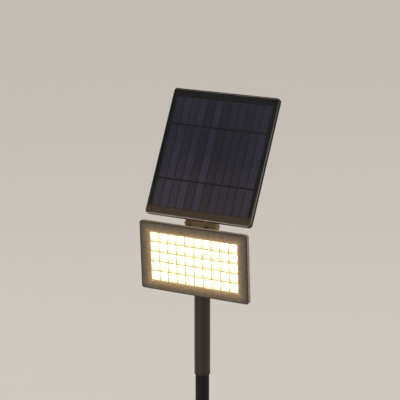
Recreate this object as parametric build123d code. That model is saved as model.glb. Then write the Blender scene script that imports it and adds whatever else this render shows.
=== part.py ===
from build123d import *

import math
import os

# Solar garden light, in millimetres. The origin is on the pole's axis at ground level, under the
# spike's flange. +Z is up, and the lamp shines towards -Y. Lamp and panel are drawn upright, each in
# its own frame (X right, Y back from its front face, Z up from its centre), then tilted and placed.

# Pole and spike
POLE_R = 11.0
POLE_BORE_R = 10.2
LOWER_R = 9.5
LOWER_BORE_R = 8.5
STEP_Z = 220.0
TUBE_TOP_Z = 411.0
LOWER_TOP_Z = 258.0
SOCKET_FLOOR_Z = 5.0
SOCKET_TOP_Z = 35.0
SOCKET_R = 13.0
FLANGE_R = 24.0
FLANGE_T = 3.0
SPIKE_DEPTH = 165.0
SPIKE_HALF_W = 17.0
SPIKE_TIP = 1.5
GUSSET_H = 24.0
FIN_T = 3.2
BUSH_LENGTH = 30.0
BUSH_FLANGE = 2.5

# Lamp head
LAMP_W = 170.0
LAMP_H = 96.8
LAMP_CENTRE = (0.0, -24.2, 385.2)
LAMP_TILT = 3.46
BEZEL_DEPTH = 6.5
RIM_DEPTH = 8.6
RIM_INSET = 1.0
CORNER_R = 3.5
WALL = 2.2
WINDOW_W = 142.0
WINDOW_H = 73.0
SLOPE_DEPTH = 0.3
LENS_FRONT = 1.0
LENS_BACK = 2.0
OPTIC_W = 146.8
OPTIC_H = 77.0
OPTIC_Z = -1.0
GRID_W = 143.0
GRID_H = 74.0
GRID_FRONT = 2.1
FLANGE_FRONT = 2.6
FLANGE_BACK = 3.6
THROAT_FRONT = 5.5
BOARD_FRONT = 6.4
BOARD_BACK = 7.2
LED_COLUMNS = 10
LED_ROWS = 5
LED_PITCH = 13.86
CUP_FRONT = 12.9
CUP_BACK = 5.6
PLATE_FRONT = 7.4
POD_IN = 15.0
POD_OUT = 56.0
POD_BOTTOM = -40.0
POD_TOP = 37.0
POD_BACK = 30.4
POD_WALL = 2.0
BOSS_X = 78.5
BOSS_Z = 42.7
CELL_X = -35.5
CELL_R = 9.2
CELL_Y = 18.6
SWITCH_X = 35.5
SWITCH_Z = 10.0
BUTTON_R = 5.0
BUTTON_GAP = 0.1
GLAND_FOOT_R = 3.0
HOLDER_FRONT = 7.7
CONTROL_FRONT = 16.0
GLAND_Y = 20.0

# Panel
PANEL_W = 167.0
PANEL_H = 181.0
PANEL_D = 8.5
PANEL_CENTRE = (0.0, 23.1, 523.6)
PANEL_TILT = 25.93
RECESS_W = 162.0
RECESS_H = 176.0
COVER_FRONT = 0.5
COVER_BACK = 1.7
RIBBON_T = 0.15
STRIP_T = 0.3
BACKING_T = 1.2
LEDGE = 3.6
TRAY_FLOOR = 6.5
STRIPS = 12
STRIP_W = 12.0
STRIP_PITCH = 12.66
STRIP_H = 156.0
STRIP_RAISE = 0.4
JUNCTION_Z = -30.0

# Hinges, both along X at the top of the pole
PANEL_PIVOT = (0.0, 432.0)
PANEL_KNUCKLE_R = 7.2
PANEL_PIN_R = 2.5
LAMP_PIVOT_LOCAL = (14.6, 42.0)
LAMP_KNUCKLE_R = 5.0
LAMP_PIN_R = 2.0
PIN_CLEARANCE = 0.05
TONGUE_HALF = 9.5
WASHER_IN = 9.55
LUG_IN = 10.1
LAMP_LUG_OUT = 15.0
PANEL_LUG_OUT = 22.0
HEAD_R = 5.0
HEAD_T = 3.3


def rod(radius, start, end, x=0.0, y=0.0):
    """A round bar along Z from start to end."""
    return Pos(x, y, (start + end) / 2) * Cylinder(radius, end - start)


def rod_x(radius, start, end, y, z):
    """A round bar along X from start to end."""
    return Pos((start + end) / 2, y, z) * Rot(0, 90, 0) * Cylinder(radius, end - start)


def rod_y(radius, start, end, x, z):
    """A round bar along Y from start to end."""
    return Pos(x, (start + end) / 2, z) * Rot(90, 0, 0) * Cylinder(radius, end - start)


def block(x, y, z):
    """A box between pairs of limits."""
    middle = Pos((x[0] + x[1]) / 2, (y[0] + y[1]) / 2, (z[0] + z[1]) / 2)
    return middle * Box(x[1] - x[0], y[1] - y[0], z[1] - z[0])


def plate(width, height, front, back, radius=0.0, x=0.0, z=0.0):
    """A slab in the XZ plane from y = front to y = back, with rounded corners."""
    outline = Rectangle(width, height)
    if radius > 0:
        outline = RectangleRounded(width, height, radius)
    return Pos(x, back, z) * Rot(90, 0, 0) * extrude(outline, back - front)


def funnel(mouth, front, throat, back):
    """A four-sided taper from a wide mouth at y = front to a narrow throat at y = back."""
    return loft([Plane.XZ.offset(-back) * Rectangle(*throat), Plane.XZ.offset(-front) * Rectangle(*mouth)])


def ring(outer, inner, front, back, z=0.0):
    """A flat rectangular frame from y = front to y = back."""
    return plate(*outer, front, back, 0, 0, z) - plate(*inner, front - 1, back + 1, 0, 0, z)


def link(points, half_low, half_high):
    """A flat lug between two X limits, wrapped round circles given as (y, z, radius)."""
    outline = make_hull([Pos(y, z) * CenterArc((0, 0), r, 0, 360) for y, z, r in points])
    face = make_face(outline)
    return Pos(half_low, 0, 0) * (Plane.YZ * extrude(face, half_high - half_low))


def cross_slot(span, front, x, z):
    """The cross recess in a screw head that faces +Y."""
    return plate(span, 0.6, front, front + 3, 0, x, z) + plate(0.6, span, front, front + 3, 0, x, z)


def both_sides(part):
    """The part and its mirror image across the YZ plane."""
    return [part, mirror(part, about=Plane.YZ)]


def tilt_lamp(part):
    """Moves a part from the lamp's frame to its place."""
    return Pos(*LAMP_CENTRE) * Rot(LAMP_TILT, 0, 0) * part


def tilt_panel(part):
    """Moves a part from the panel's frame to its place."""
    return Pos(*PANEL_CENTRE) * Rot(-PANEL_TILT, 0, 0) * part


def lamp_pivot():
    """The lamp pivot's place as (y, z)."""
    angle = math.radians(LAMP_TILT)
    y, z = LAMP_PIVOT_LOCAL
    return (
        LAMP_CENTRE[1] + y * math.cos(angle) - z * math.sin(angle),
        LAMP_CENTRE[2] + y * math.sin(angle) + z * math.cos(angle),
    )


def panel_pivot_local():
    """The panel pivot's place in the panel's own frame as (y, z)."""
    angle = math.radians(PANEL_TILT)
    y = PANEL_PIVOT[0] - PANEL_CENTRE[1]
    z = PANEL_PIVOT[1] - PANEL_CENTRE[2]
    return (y * math.cos(angle) - z * math.sin(angle), y * math.sin(angle) + z * math.cos(angle))


# Pole base


def ground_spike():
    """Crossed fins that taper to a point, a flange that stops at the ground, and the tube's socket."""
    corners = [(-SPIKE_HALF_W, 0), (SPIKE_HALF_W, 0), (SPIKE_TIP, -SPIKE_DEPTH), (-SPIKE_TIP, -SPIKE_DEPTH)]
    fin = Plane.XZ * extrude(make_face(Polyline(*corners, close=True)), FIN_T / 2, both=True)
    spike = fin + Rot(0, 0, 90) * fin
    spike += rod(FLANGE_R, 0, FLANGE_T)
    spike += rod(SOCKET_R, FLANGE_T, SOCKET_TOP_Z)
    web = make_face(Polyline((0, 0), (FLANGE_R - 2, 0), (0, GUSSET_H), close=True))
    gusset = Plane.XZ * extrude(web, FIN_T / 2, both=True)
    for quarter in range(4):
        spike += Pos(0, 0, FLANGE_T - 0.01) * Rot(0, 0, 45 + 90 * quarter) * gusset
    spike = spike - rod(LOWER_R + PIN_CLEARANCE, SOCKET_FLOOR_Z, SOCKET_TOP_Z + 1)
    rim = spike.edges().filter_by(GeomType.CIRCLE).group_by(Axis.Z)[-1]
    return chamfer(rim.sort_by(SortBy.RADIUS)[-1], 1.2)


def lower_tube():
    return rod(LOWER_R, SOCKET_FLOOR_Z, LOWER_TOP_Z) - rod(LOWER_BORE_R, 0, LOWER_TOP_Z + 1)


# Pole head


def upper_tube():
    tube = rod(POLE_R, STEP_Z + BUSH_FLANGE, TUBE_TOP_Z) - rod(POLE_BORE_R, 0, TUBE_TOP_Z + 1)
    return tube - rod_y(1.6, 0, POLE_R + 1, 0, TUBE_TOP_Z - 16)


def pole_bush():
    bush = rod(POLE_BORE_R, STEP_Z, STEP_Z + BUSH_LENGTH) + rod(POLE_R, STEP_Z, STEP_Z + BUSH_FLANGE)
    bush = bush - rod(LOWER_R + PIN_CLEARANCE, 0, STEP_Z + BUSH_LENGTH + 1)
    bottom = bush.edges().filter_by(GeomType.CIRCLE).group_by(Axis.Z)[0]
    return chamfer(bottom.sort_by(SortBy.RADIUS)[-1], 0.8)


def stop_plug():
    return rod(POLE_BORE_R, LOWER_TOP_Z + 0.1, LOWER_TOP_Z + 8) - rod(4, 0, TUBE_TOP_Z)


def head_bracket():
    """Plug in the tube, collar on its end, and a tongue that carries both pivots."""
    y, z = lamp_pivot()
    collar_top = TUBE_TOP_Z + 3
    bracket = rod(POLE_BORE_R, TUBE_TOP_Z - 32, TUBE_TOP_Z) + rod(POLE_R, TUBE_TOP_Z, collar_top)
    tongue = link([(y, z, LAMP_KNUCKLE_R), (*PANEL_PIVOT, PANEL_KNUCKLE_R)], -TONGUE_HALF, TONGUE_HALF)
    neck_foot = (0.0, collar_top + 0.5, PANEL_KNUCKLE_R)
    neck = link([(*PANEL_PIVOT, PANEL_KNUCKLE_R), neck_foot], -TONGUE_HALF, TONGUE_HALF)
    web = link([(y, z, LAMP_KNUCKLE_R), (-2.0, collar_top + 1, 4.0)], -TONGUE_HALF, TONGUE_HALF)
    lower_limit = block((-20, 20), (-30, 30), (collar_top - 1, collar_top + 60))
    bracket += (tongue + neck + web) & lower_limit
    bracket = bracket - rod(6.5, TUBE_TOP_Z - 33, TUBE_TOP_Z - 6)
    bracket = bracket - rod_x(PANEL_PIN_R + PIN_CLEARANCE, -20, 20, *PANEL_PIVOT)
    bracket = bracket - rod_x(LAMP_PIN_R + PIN_CLEARANCE, -20, 20, y, z)
    return bracket - rod_y(1.3, 0, POLE_R + 1, 0, TUBE_TOP_Z - 16)


def bracket_screw():
    z = TUBE_TOP_Z - 16
    screw = rod_y(1.3, 5, POLE_R + 0.2, 0, z) + rod_y(2.8, POLE_R + 0.05, POLE_R + 2.0, 0, z)
    return screw - cross_slot(2.6, POLE_R + 1.2, 0, z)


# Lamp head, in its own frame


def lamp_bosses(radius, front, back):
    """Round bosses or holes at the six screw places."""
    return [rod_y(radius, front, back, x, z) for x in (-BOSS_X, BOSS_X) for z in (-BOSS_Z, 0.0, BOSS_Z)]


def lamp_bezel():
    """Front frame: a flat lip, a shallow slope down to the window, and side walls."""
    bezel = plate(LAMP_W, LAMP_H, 0, BEZEL_DEPTH, CORNER_R)
    front = bezel.faces().sort_by(Axis.Y)[0].edges()
    bezel = fillet(front, 0.9)
    bezel = bezel - plate(LAMP_W - 2 * WALL, LAMP_H - 2 * WALL, LENS_BACK, BEZEL_DEPTH + 1, CORNER_R - 1)
    slope = funnel((LAMP_W - 8, LAMP_H - 8 + 2 * OPTIC_Z), -0.01, (WINDOW_W, WINDOW_H), SLOPE_DEPTH)
    bezel = bezel - Pos(0, 0, OPTIC_Z) * slope
    bezel = bezel - plate(WINDOW_W, WINDOW_H, -1, LENS_BACK + 1, 0, 0, OPTIC_Z)
    bezel = bezel - plate(OPTIC_W, OPTIC_H, LENS_FRONT, LENS_BACK + 1, 0, 0, OPTIC_Z)
    for boss in lamp_bosses(3.0, LENS_BACK - 0.5, BEZEL_DEPTH):
        bezel += boss
    for hole in lamp_bosses(1.4, 3.4, BEZEL_DEPTH + 1):
        bezel = bezel - hole
    return bezel


def lamp_lens():
    return plate(OPTIC_W, OPTIC_H, LENS_FRONT, LENS_BACK, 0, 0, OPTIC_Z)


def lens_gasket():
    return ring((OPTIC_W, OPTIC_H), (GRID_W + 0.4, GRID_H + 0.4), LENS_BACK, FLANGE_FRONT, OPTIC_Z)


def led_places():
    """Centres of the lamp's cells as (x, z)."""
    for row in range(LED_ROWS):
        for column in range(LED_COLUMNS):
            x = (column - (LED_COLUMNS - 1) / 2) * LED_PITCH
            z = (row - (LED_ROWS - 1) / 2) * LED_PITCH + OPTIC_Z
            yield x, z


def reflector_grid():
    """A block of square tapered cups, one over each LED."""
    grid = plate(GRID_W, GRID_H, GRID_FRONT, BOARD_FRONT, 0, 0, OPTIC_Z)
    grid += plate(OPTIC_W, OPTIC_H, FLANGE_FRONT, FLANGE_BACK, 0, 0, OPTIC_Z)
    cup = funnel((CUP_FRONT, CUP_FRONT), GRID_FRONT - 0.01, (CUP_BACK, CUP_BACK), THROAT_FRONT)
    cup += plate(CUP_BACK, CUP_BACK, THROAT_FRONT - 0.1, BOARD_FRONT + 1)
    return grid - [Pos(x, 0, z) * cup for x, z in led_places()]


def led_chips():
    return [plate(5.0, 5.0, BOARD_FRONT - 0.9, BOARD_FRONT, 0, x, z) for x, z in led_places()]


def led_board():
    return plate(OPTIC_W, OPTIC_H, BOARD_FRONT, BOARD_BACK, 0, 0, OPTIC_Z)


def pod(grow):
    """One rear pod on the +X side, or its hollow when grow is negative."""
    width = POD_OUT - POD_IN + 2 * grow
    height = POD_TOP - POD_BOTTOM + 2 * grow
    middle_x = (POD_IN + POD_OUT) / 2
    middle_z = (POD_TOP + POD_BOTTOM) / 2
    front = PLATE_FRONT + 0.2 if grow == 0 else PLATE_FRONT - 1
    shape = plate(width, height, front, POD_BACK + grow, 6.0 + grow, middle_x, middle_z)
    back = shape.faces().sort_by(Axis.Y)[-1].edges()
    return fillet(back, 3.0 + grow)


def rear_shell():
    """Rear housing: shallow tray, flat channel behind which the pole stands, two pods and the lugs."""
    y, z = LAMP_PIVOT_LOCAL
    rim_w = LAMP_W - 2 * RIM_INSET
    rim_h = LAMP_H - 2 * RIM_INSET
    shell = plate(rim_w, rim_h, BEZEL_DEPTH, RIM_DEPTH, CORNER_R - 0.5)
    shell = fillet(shell.faces().sort_by(Axis.Y)[-1].edges(), 1.6)
    shell = shell - plate(rim_w - 2 * WALL, rim_h - 2 * WALL, 0, PLATE_FRONT, 1.0)
    for side in both_sides(pod(0)):
        shell += side
    for side in both_sides(pod(-POD_WALL)):
        shell = shell - side
    foot = [(RIM_DEPTH, 43.5, 1.0), (RIM_DEPTH, 33.0, 1.0)]
    lug = link([(y, z, LAMP_KNUCKLE_R), *foot], LUG_IN, LAMP_LUG_OUT)
    lug = lug & block((0, 40), (RIM_DEPTH - 0.5, 40), (0, 60))
    for side in both_sides(lug):
        shell += side
    for boss in lamp_bosses(3.0, BEZEL_DEPTH, PLATE_FRONT + 0.5):
        shell += boss & plate(rim_w - 1, rim_h - 1, 0, 20, 2.0)
    for x in (-66, 66):
        for post_z in (-30, 30):
            shell += rod_y(2.5, BOARD_BACK, PLATE_FRONT + 0.5, x, post_z)
    for hole in lamp_bosses(1.4, 0, 20):
        shell = shell - hole
    for recess in lamp_bosses(2.7, RIM_DEPTH - 1.0, 20):
        shell = shell - recess
    shell = shell - rod_x(LAMP_PIN_R + PIN_CLEARANCE, -20, 20, y, z)
    shell = shell - rod_y(BUTTON_R + BUTTON_GAP, 20, 40, SWITCH_X, SWITCH_Z)
    return shell - rod(GLAND_FOOT_R + PIN_CLEARANCE, -43, -33, SWITCH_X, GLAND_Y)


def shell_screws():
    screws = []
    for x in (-BOSS_X, BOSS_X):
        for z in (-BOSS_Z, 0.0, BOSS_Z):
            screw = rod_y(1.4, 3.6, RIM_DEPTH - 0.9, x, z)
            screw += rod_y(2.6, RIM_DEPTH - 1.0, RIM_DEPTH - 0.1, x, z)
            screws.append(screw - cross_slot(2.6, RIM_DEPTH - 0.6, x, z))
    return screws


def battery_holder():
    """Cradle with a floor and two end walls, in the left pod."""
    half = 12.0
    front = HOLDER_FRONT
    holder = block((CELL_X - half, CELL_X + half), (front, front + 1.4), (-37.5, 34.5))
    for z in (-37.5, 33.0):
        holder += block((CELL_X - half, CELL_X + half), (front, front + 17.0), (z, z + 1.5))
    for side in (-1, 1):
        wall_x = CELL_X + side * (half - 0.75)
        holder += block((wall_x - 0.75, wall_x + 0.75), (front, front + 9.0), (-37.5, 34.5))
    return holder


def battery_cell():
    cell = rod(CELL_R, -34.0, 30.2, CELL_X, CELL_Y) + rod(3.0, 30.2, 31.0, CELL_X, CELL_Y)
    ends = cell.edges().filter_by(GeomType.CIRCLE).sort_by(SortBy.RADIUS)[-2:]
    return fillet(ends, 0.6)


def battery_contacts():
    low = block((CELL_X - 5, CELL_X + 5), (CELL_Y - 5, CELL_Y + 5), (-36.0, -35.6))
    low += Pos(CELL_X, CELL_Y, -34.8) * Cone(3.5, 2.0, 1.6)
    high = block((CELL_X - 5, CELL_X + 5), (CELL_Y - 5, CELL_Y + 5), (32.6, 33.0))
    high += rod(2.0, 31.0, 32.6, CELL_X, CELL_Y)
    return [low, high]


def control_board():
    return plate(34.0, 64.0, CONTROL_FRONT, CONTROL_FRONT + 1.6, 1.0, SWITCH_X, -1.5)


def board_parts():
    """The coil, the control chip, the capacitor and the sense resistors on the board's front."""
    x, y = SWITCH_X, CONTROL_FRONT
    parts = [
        rod_y(5.0, y - 4.0, y, x + 8, -20),
        plate(5.0, 6.2, y - 1.6, y, 0, x - 6, -8),
        rod_y(3.2, y - 6.0, y, x - 8, 16),
    ]
    for step in range(4):
        parts.append(plate(3.2, 1.6, y - 0.7, y, 0, x + 9, 2 + 5 * step))
    return parts


def switch_body():
    front = CONTROL_FRONT + 1.6
    body = plate(6.0, 6.0, front, front + 4.4, 0.5, SWITCH_X, SWITCH_Z)
    return body + rod_y(1.7, front + 4.4, front + 5.9, SWITCH_X, SWITCH_Z)


def button_collar():
    ring_part = rod_y(7.5, POD_BACK, POD_BACK + 1.2, SWITCH_X, SWITCH_Z)
    ring_part = ring_part - rod_y(BUTTON_R + BUTTON_GAP, 0, 60, SWITCH_X, SWITCH_Z)
    outer = ring_part.edges().filter_by(GeomType.CIRCLE).group_by(Axis.Y)[-1].sort_by(SortBy.RADIUS)[-1]
    return chamfer(outer, 0.6)


def power_button():
    """Push button: a crowned cap, a flange that keeps it in, and a stem over the switch."""
    cap = rod_y(BUTTON_R, POD_BACK - POD_WALL - 1.2, POD_BACK + 2.6, SWITCH_X, SWITCH_Z)
    cap = fillet(cap.faces().sort_by(Axis.Y)[-1].edges(), 1.0)
    flange = rod_y(6.3, POD_BACK - POD_WALL - 1.3, POD_BACK - POD_WALL - 0.05, SWITCH_X, SWITCH_Z)
    return cap + flange + rod_y(1.8, POD_BACK - 5.65, POD_BACK - 2.9, SWITCH_X, SWITCH_Z)


def gland(x, y, z_low):
    """Cable gland along +Z: threaded foot, hexagon and domed nut with its sealing insert."""
    body = rod(GLAND_FOOT_R, z_low - 2.2, z_low, x, y)
    body += Pos(x, y, z_low) * extrude(RegularPolygon(5.2, 6), 3.0)
    dome = rod(4.4, z_low + 3.0, z_low + 8.0, x, y)
    top = dome.faces().sort_by(Axis.Z)[-1].edges()
    body += fillet(top, 1.5)
    return body - rod(1.6, z_low + 5.0, z_low + 9.0, x, y)


def lamp_gland():
    turned = mirror(gland(0, 0, 0), about=Plane.XY)
    return Pos(SWITCH_X, GLAND_Y, POD_BOTTOM) * turned


def hinge_bolt(radius, head_radius, head_depth, low, high, y, z):
    """Bolt along X: shank from low to high, and a round head outside high."""
    head = rod_x(head_radius, high, high + head_depth, y, z)
    head = fillet(head.faces().sort_by(Axis.X)[-1].edges(), head_depth * 0.3)
    socket = Pos(high + head_depth, y, z) * Rot(0, 90, 0)
    socket = socket * extrude(RegularPolygon(radius * 0.8, 6), head_depth * 0.5, both=True)
    return rod_x(radius, low, high, y, z) + head - socket


def hinge_nut(radius, width, depth, face, y, z):
    """Hexagon nut along X whose inner face is at x = face, on the -X side."""
    outline = RegularPolygon(width / 2, 6, major_radius=False)
    nut = Pos(face - depth, y, z) * Rot(0, 90, 0) * extrude(outline, depth)
    return nut - rod_x(radius + PIN_CLEARANCE, face - depth - 1, face + 1, y, z)


def hinge_washers(outer, inner, low, high, y, z):
    washer = rod_x(outer, low, high, y, z) - rod_x(inner, low - 1, high + 1, y, z)
    return both_sides(washer)


def lamp_pivot_bolt():
    y, z = LAMP_PIVOT_LOCAL
    return hinge_bolt(LAMP_PIN_R, 3.8, 2.4, -19.5, LAMP_LUG_OUT, y, z)


def lamp_pivot_nut():
    return hinge_nut(LAMP_PIN_R, 7.0, 3.2, -LAMP_LUG_OUT, *LAMP_PIVOT_LOCAL)


def lamp_pivot_washers():
    return hinge_washers(4.5, LAMP_PIN_R + PIN_CLEARANCE, WASHER_IN, LUG_IN, *LAMP_PIVOT_LOCAL)


# Panel, in its own frame


def panel_tray():
    """Moulded tray: recess for the laminate, ribbed hollow behind it, and two hinge lugs."""
    y, z = panel_pivot_local()
    tray = plate(PANEL_W, PANEL_H, 0, PANEL_D, CORNER_R)
    tray = fillet(tray.faces().sort_by(Axis.Y)[0].edges(), 0.6)
    tray = fillet(tray.faces().sort_by(Axis.Y)[-1].edges(), 1.6)
    tray = tray - plate(RECESS_W, RECESS_H, -1, LEDGE, 1.5)
    tray = tray - plate(RECESS_W - 8, RECESS_H - 8, 0, TRAY_FLOOR, 1.5)
    for step in (-1, 0, 1):
        tray += block((step * 40 - 0.8, step * 40 + 0.8), (LEDGE, TRAY_FLOOR + 0.5), (-85, 85))
        tray += block((-78, 78), (LEDGE, TRAY_FLOOR + 0.5), (step * 44 - 0.8, step * 44 + 0.8))
    lug = link([(y, z, PANEL_KNUCKLE_R), (PANEL_D, -60.0, 2.0), (PANEL_D, -86.0, 2.0)], LUG_IN, PANEL_LUG_OUT)
    behind_tray = block((0, 40), (PANEL_D - 1.8, 40), (-89, 0))
    below_tray = block((0, 40), (PANEL_D + 1.6, 40), (-120, -88))
    lug = lug & (behind_tray + below_tray)
    for side in both_sides(lug):
        tray += side
    tray = tray - rod_x(PANEL_PIN_R + PIN_CLEARANCE, -30, 30, y, z)
    tray = tray - plate(14.0, 8.0, LEDGE, 20, 0, 20, JUNCTION_Z)
    for x, hole_z in junction_places():
        tray = tray - rod_y(1.2, TRAY_FLOOR - 1, 20, x, hole_z)
    return tray


def panel_cover():
    return plate(RECESS_W - 0.4, RECESS_H - 0.4, COVER_FRONT, COVER_BACK, 1.3)


def cell_ribbons():
    """Two flat ribbons across all strips, a quarter of their height from each end."""
    width = STRIPS * STRIP_PITCH + 2
    places = [STRIP_RAISE + side * STRIP_H / 4 for side in (-1, 1)]
    return [plate(width, 1.6, COVER_BACK, COVER_BACK + RIBBON_T, 0, 0, z) for z in places]


def solar_cells():
    front = COVER_BACK + RIBBON_T
    places = [(index - (STRIPS - 1) / 2) * STRIP_PITCH for index in range(STRIPS)]
    return [plate(STRIP_W, STRIP_H, front, front + STRIP_T, 0, x, STRIP_RAISE) for x in places]


def cell_backing():
    front = COVER_BACK + RIBBON_T + STRIP_T
    return plate(RECESS_W - 0.4, RECESS_H - 0.4, front, front + BACKING_T, 1.3)


def panel_sealant():
    front = COVER_BACK + RIBBON_T + STRIP_T + BACKING_T
    return ring((RECESS_W - 1, RECESS_H - 1), (RECESS_W - 7, RECESS_H - 7), front, LEDGE)


def cell_terminals():
    """Two solder tabs from the backing into the junction cover."""
    front = COVER_BACK + RIBBON_T + STRIP_T + BACKING_T
    return [plate(3.0, 3.0, front, PANEL_D + 2, 0, x, JUNCTION_Z) for x in (16.5, 23.5)]


def junction_places():
    """The four screw places of the junction cover as (x, z)."""
    return [(20 + 17 * i, JUNCTION_Z + 10 * j) for i in (-1, 1) for j in (-1, 1)]


def junction_cover():
    cover = plate(42.0, 28.0, PANEL_D, PANEL_D + 8.0, 4.0, 20, JUNCTION_Z)
    cover = fillet(cover.faces().sort_by(Axis.Y)[-1].edges(), 1.6)
    cover = cover - plate(27.0, 24.0, PANEL_D - 1, PANEL_D + 6.4, 2.0, 20, JUNCTION_Z)
    for x, z in junction_places():
        cover = cover - rod_y(1.3, 0, 30, x, z)
        cover = cover - rod_y(2.3, PANEL_D + 3.0, 30, x, z)
    return cover - rod(GLAND_FOOT_R + PIN_CLEARANCE, JUNCTION_Z - 16, JUNCTION_Z - 10, 20, PANEL_D + 4.6)


def junction_screws():
    screws = []
    for x, z in junction_places():
        screw = rod_y(1.2, TRAY_FLOOR + 0.2, PANEL_D + 3.2, x, z)
        screw += rod_y(2.2, PANEL_D + 3.0, PANEL_D + 4.6, x, z)
        screws.append(screw - cross_slot(2.4, PANEL_D + 3.9, x, z))
    return screws


def panel_gland():
    turned = mirror(gland(0, 0, 0), about=Plane.XY)
    return Pos(20, PANEL_D + 4.6, JUNCTION_Z - 14) * turned


def panel_pivot_bolt():
    return hinge_bolt(PANEL_PIN_R, HEAD_R, HEAD_T, -27.5, PANEL_LUG_OUT, *panel_pivot_local())


def panel_pivot_nut():
    return hinge_nut(PANEL_PIN_R, 8.0, 4.0, -PANEL_LUG_OUT, *panel_pivot_local())


def panel_pivot_washers():
    return hinge_washers(7.0, PANEL_PIN_R + PIN_CLEARANCE, WASHER_IN, LUG_IN, *panel_pivot_local())


POLE_PIECES = (
    ground_spike,
    lower_tube,
    upper_tube,
    pole_bush,
    stop_plug,
    head_bracket,
    bracket_screw,
)
LAMP_PIECES = (
    lamp_bezel,
    lamp_lens,
    lens_gasket,
    reflector_grid,
    led_chips,
    led_board,
    rear_shell,
    shell_screws,
    battery_holder,
    battery_cell,
    battery_contacts,
    control_board,
    board_parts,
    switch_body,
    button_collar,
    power_button,
    lamp_gland,
    lamp_pivot_bolt,
    lamp_pivot_nut,
    lamp_pivot_washers,
)
PANEL_PIECES = (
    panel_tray,
    panel_cover,
    cell_ribbons,
    solar_cells,
    cell_backing,
    panel_sealant,
    cell_terminals,
    junction_cover,
    junction_screws,
    panel_gland,
    panel_pivot_bolt,
    panel_pivot_nut,
    panel_pivot_washers,
)


def write(make, place):
    """Makes one piece, puts it in its place and writes it under its own name."""
    made = make()
    solids = made if isinstance(made, list) else [made]
    placed = [place(one) for one in solids]
    shape = placed[0] if len(placed) == 1 else Compound(children=placed)
    export_step(shape, f"parts/{make.__name__}.step")


os.makedirs("parts", exist_ok=True)
for piece in POLE_PIECES:
    write(piece, lambda part: part)
for piece in LAMP_PIECES:
    write(piece, tilt_lamp)
for piece in PANEL_PIECES:
    write(piece, tilt_panel)
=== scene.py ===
import math

import bmesh
import bpy
from mathutils import Matrix, Vector, geometry


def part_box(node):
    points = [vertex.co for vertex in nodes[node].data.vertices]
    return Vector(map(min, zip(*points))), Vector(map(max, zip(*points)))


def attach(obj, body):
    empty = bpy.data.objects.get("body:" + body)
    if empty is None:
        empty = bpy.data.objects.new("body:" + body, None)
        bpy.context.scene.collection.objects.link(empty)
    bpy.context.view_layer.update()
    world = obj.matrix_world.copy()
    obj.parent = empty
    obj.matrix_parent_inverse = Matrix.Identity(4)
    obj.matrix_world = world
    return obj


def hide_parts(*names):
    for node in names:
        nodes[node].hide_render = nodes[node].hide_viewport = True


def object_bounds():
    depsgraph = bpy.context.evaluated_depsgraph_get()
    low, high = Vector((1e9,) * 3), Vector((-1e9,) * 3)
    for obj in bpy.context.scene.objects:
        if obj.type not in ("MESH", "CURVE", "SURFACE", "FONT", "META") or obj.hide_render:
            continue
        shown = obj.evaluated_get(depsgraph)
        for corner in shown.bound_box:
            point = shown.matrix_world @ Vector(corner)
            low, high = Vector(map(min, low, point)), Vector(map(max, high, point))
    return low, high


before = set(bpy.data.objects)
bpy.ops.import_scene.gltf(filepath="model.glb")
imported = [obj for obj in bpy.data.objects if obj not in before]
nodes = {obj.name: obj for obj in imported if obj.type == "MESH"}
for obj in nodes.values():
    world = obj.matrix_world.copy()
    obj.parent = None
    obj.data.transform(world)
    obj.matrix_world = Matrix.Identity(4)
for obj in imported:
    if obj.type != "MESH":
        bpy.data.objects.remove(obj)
cad_low, cad_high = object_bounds()


# Ground spike: one polypropylene moulding, with crossed fins that taper to a point, a flange that
# stops at the ground and a socket for the pole. Injection moulded, so every edge is slightly round.

MM = 0.001
TURN_STEPS = 72
SHARP_DEGREES = 50
# Noise textures stay mostly between these.
NOISE_SPAN = {"From Min": 0.3, "From Max": 0.7}


def add(material, kind, settings=None, sockets=None):
    """Adds a node: settings are its properties, and a socket takes a value or another node's output."""
    tree = material.node_tree
    node = tree.nodes.new(kind)
    for name, value in (settings or {}).items():
        setattr(node, name, value)
    for name, value in (sockets or {}).items():
        if isinstance(value, bpy.types.NodeSocket):
            tree.links.new(value, node.inputs[name])
        else:
            node.inputs[name].default_value = value
    return node


def srgb(code, alpha=1.0):
    """A hex colour turned to linear."""
    values = [int(code[i : i + 2], 16) / 255 for i in (1, 3, 5)]
    linear = [v / 12.92 if v <= 0.04045 else ((v + 0.055) / 1.055) ** 2.4 for v in values]
    return (*linear, alpha)


def new_material(name):
    """An empty material, and the place on the surface that its patterns follow."""
    material = bpy.data.materials.new(name)
    material.use_nodes = True
    material.node_tree.nodes.clear()
    return material, add(material, "ShaderNodeTexCoord").outputs["Object"]


def set_stops(ramp, *stops):
    """Gives a colour ramp its (position, linear colour) stops: its own two first, then any more."""
    elements = ramp.color_ramp.elements
    for element, (position, colour) in zip(elements, stops):
        element.position = position
        element.color = colour
    for position, colour in stops[2:]:
        elements.new(position).color = colour


def surface(material, tone, matt, bump, sockets):
    """Joins noises into a surface: tone is (noise, *stops), matt (noise, least, most), and bump (noise,
    depth in millimetres, strength)."""
    tone_noise, *stops = tone
    matt_noise, least, most = matt
    bump_noise, depth_mm, strength = bump
    colour = add(material, "ShaderNodeValToRGB", sockets={"Fac": tone_noise.outputs["Fac"]})
    set_stops(colour, *stops)
    matt_range = {"Value": matt_noise.outputs["Fac"], **NOISE_SPAN, "To Min": least, "To Max": most}
    roughness = add(material, "ShaderNodeMapRange", sockets=matt_range)
    raised_sockets = {"Height": bump_noise.outputs["Fac"], "Distance": depth_mm * MM, "Strength": strength}
    raised = add(material, "ShaderNodeBump", sockets=raised_sockets)
    shader_sockets = {
        "Base Color": colour.outputs["Color"],
        "Roughness": roughness.outputs["Result"],
        "Normal": raised.outputs["Normal"],
        **sockets,
    }
    shader = add(material, "ShaderNodeBsdfPrincipled", sockets=shader_sockets)
    add(material, "ShaderNodeOutputMaterial", sockets={"Surface": shader.outputs["BSDF"]})
    return material


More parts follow.
